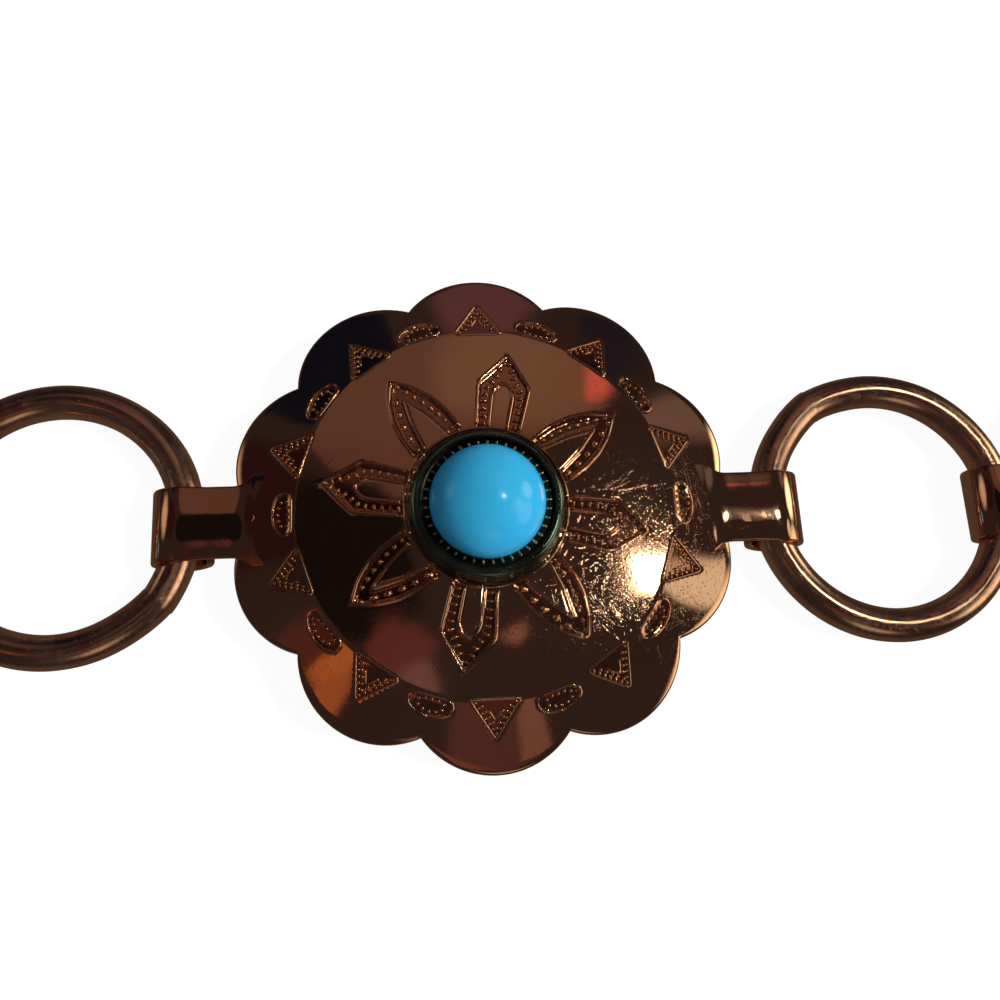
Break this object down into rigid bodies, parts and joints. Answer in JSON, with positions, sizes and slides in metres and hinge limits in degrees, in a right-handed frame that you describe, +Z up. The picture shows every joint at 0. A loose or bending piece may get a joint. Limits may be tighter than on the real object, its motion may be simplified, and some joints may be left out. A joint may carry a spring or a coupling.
{
  "type": "concho belt",
  "caption": "Western concho belt of scalloped domed metal plates with turquoise cabochons, joined by wire rings and closed by a plain hook.",
  "frame": {"origin": "on the surface that the belt lies on, under the middle of its box", "axes": "+X along the belt from the hook to the end ring, +Y across it, +Z up out of the plates' faces"},
  "size_m": [0.8091, 0.0508, 0.0133],
  "materials": {
    "plating": "rose gold coloured plating, mirror polished, with fine scratches",
    "ring_plating": "the same plating on wire, drawn and lightly scuffed",
    "bezel_plating": "dark polished brass",
    "turquoise": "glossy polished opaque blue"
  },
  "bodies": {
    "root": {"concho_1": "plating", "bezel_1": "bezel_plating", "stone_1": "turquoise", "concho_2": "plating", "bezel_2": "bezel_plating", "stone_2": "turquoise", "concho_3": "plating", "bezel_3": "bezel_plating", "stone_3": "turquoise", "concho_4": "plating", "bezel_4": "bezel_plating", "stone_4": "turquoise", "concho_5": "plating", "bezel_5": "bezel_plating", "stone_5": "turquoise", "concho_6": "plating", "bezel_6": "bezel_plating", "stone_6": "turquoise", "concho_7": "plating", "bezel_7": "bezel_plating", "stone_7": "turquoise", "concho_8": "plating", "bezel_8": "bezel_plating", "stone_8": "turquoise", "concho_9": "plating", "bezel_9": "bezel_plating", "stone_9": "turquoise", "ring_1": "ring_plating", "ring_2": "ring_plating", "ring_3": "ring_plating", "ring_4": "ring_plating", "ring_5": "ring_plating", "ring_6": "ring_plating", "ring_7": "ring_plating", "ring_8": "ring_plating", "ring_9": "ring_plating", "ring_10": "ring_plating", "hook": "plating"}
  },
  "joints": []
}
